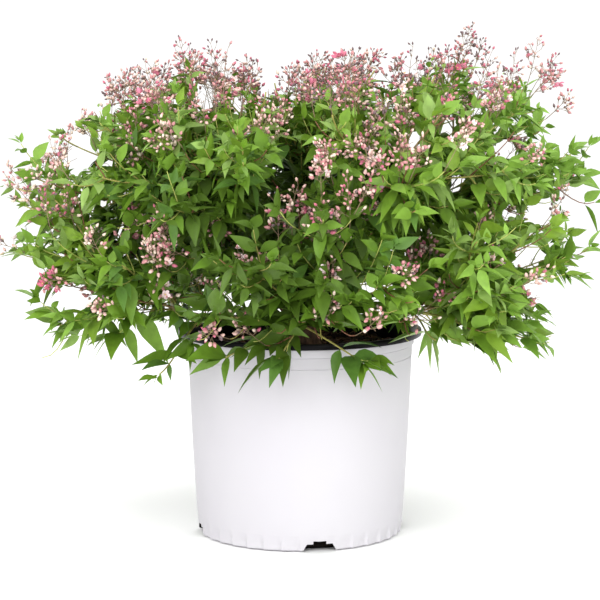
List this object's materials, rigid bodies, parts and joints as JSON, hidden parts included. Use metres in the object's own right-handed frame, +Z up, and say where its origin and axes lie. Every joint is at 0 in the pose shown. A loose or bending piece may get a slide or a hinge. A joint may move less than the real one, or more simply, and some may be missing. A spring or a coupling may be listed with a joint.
{
  "type": "potted deutzia shrub",
  "caption": "Many-stemmed flowering shrub with a squat leafy crown and small pink panicles, in a round tapered white nursery container filled with potting mix.",
  "frame": {"origin": "on the container's axis, on the flat underside of its foot", "axes": "+Z up along the container's axis, -Y towards the pictured front, +X to the picture's right"},
  "size_m": [0.7425, 0.6641, 0.5853],
  "materials": {
    "pot_white": "white moulded plastic, satin, with a black rim band",
    "bark_mix": "dark brown shredded bark and peat, matt",
    "cane_bark": "thin peeling brown bark, matt",
    "foliage": "mid-green leaves on thin twigs, with pink blossom"
  },
  "bodies": {
    "root": {"nursery_pot": "pot_white", "potting_mix": "bark_mix", "root_crown": "cane_bark", "cane_low_front": "cane_bark", "cane_low_front_right": "cane_bark", "cane_low_back_right": "cane_bark", "cane_low_back": "cane_bark", "cane_low_back_left": "cane_bark", "cane_low_front_left": "cane_bark", "cane_high_front_right": "cane_bark", "cane_high_right": "cane_bark", "cane_high_back": "cane_bark", "cane_high_left": "cane_bark", "cane_high_front_left": "cane_bark", "cane_top": "cane_bark", "foliage_low_front": "foliage", "foliage_low_front_right": "foliage", "foliage_low_back_right": "foliage", "foliage_low_back": "foliage", "foliage_low_back_left": "foliage", "foliage_low_front_left": "foliage", "foliage_high_front_right": "foliage", "foliage_high_right": "foliage", "foliage_high_back": "foliage", "foliage_high_left": "foliage", "foliage_high_front_left": "foliage", "foliage_top": "foliage"}
  },
  "joints": []
}
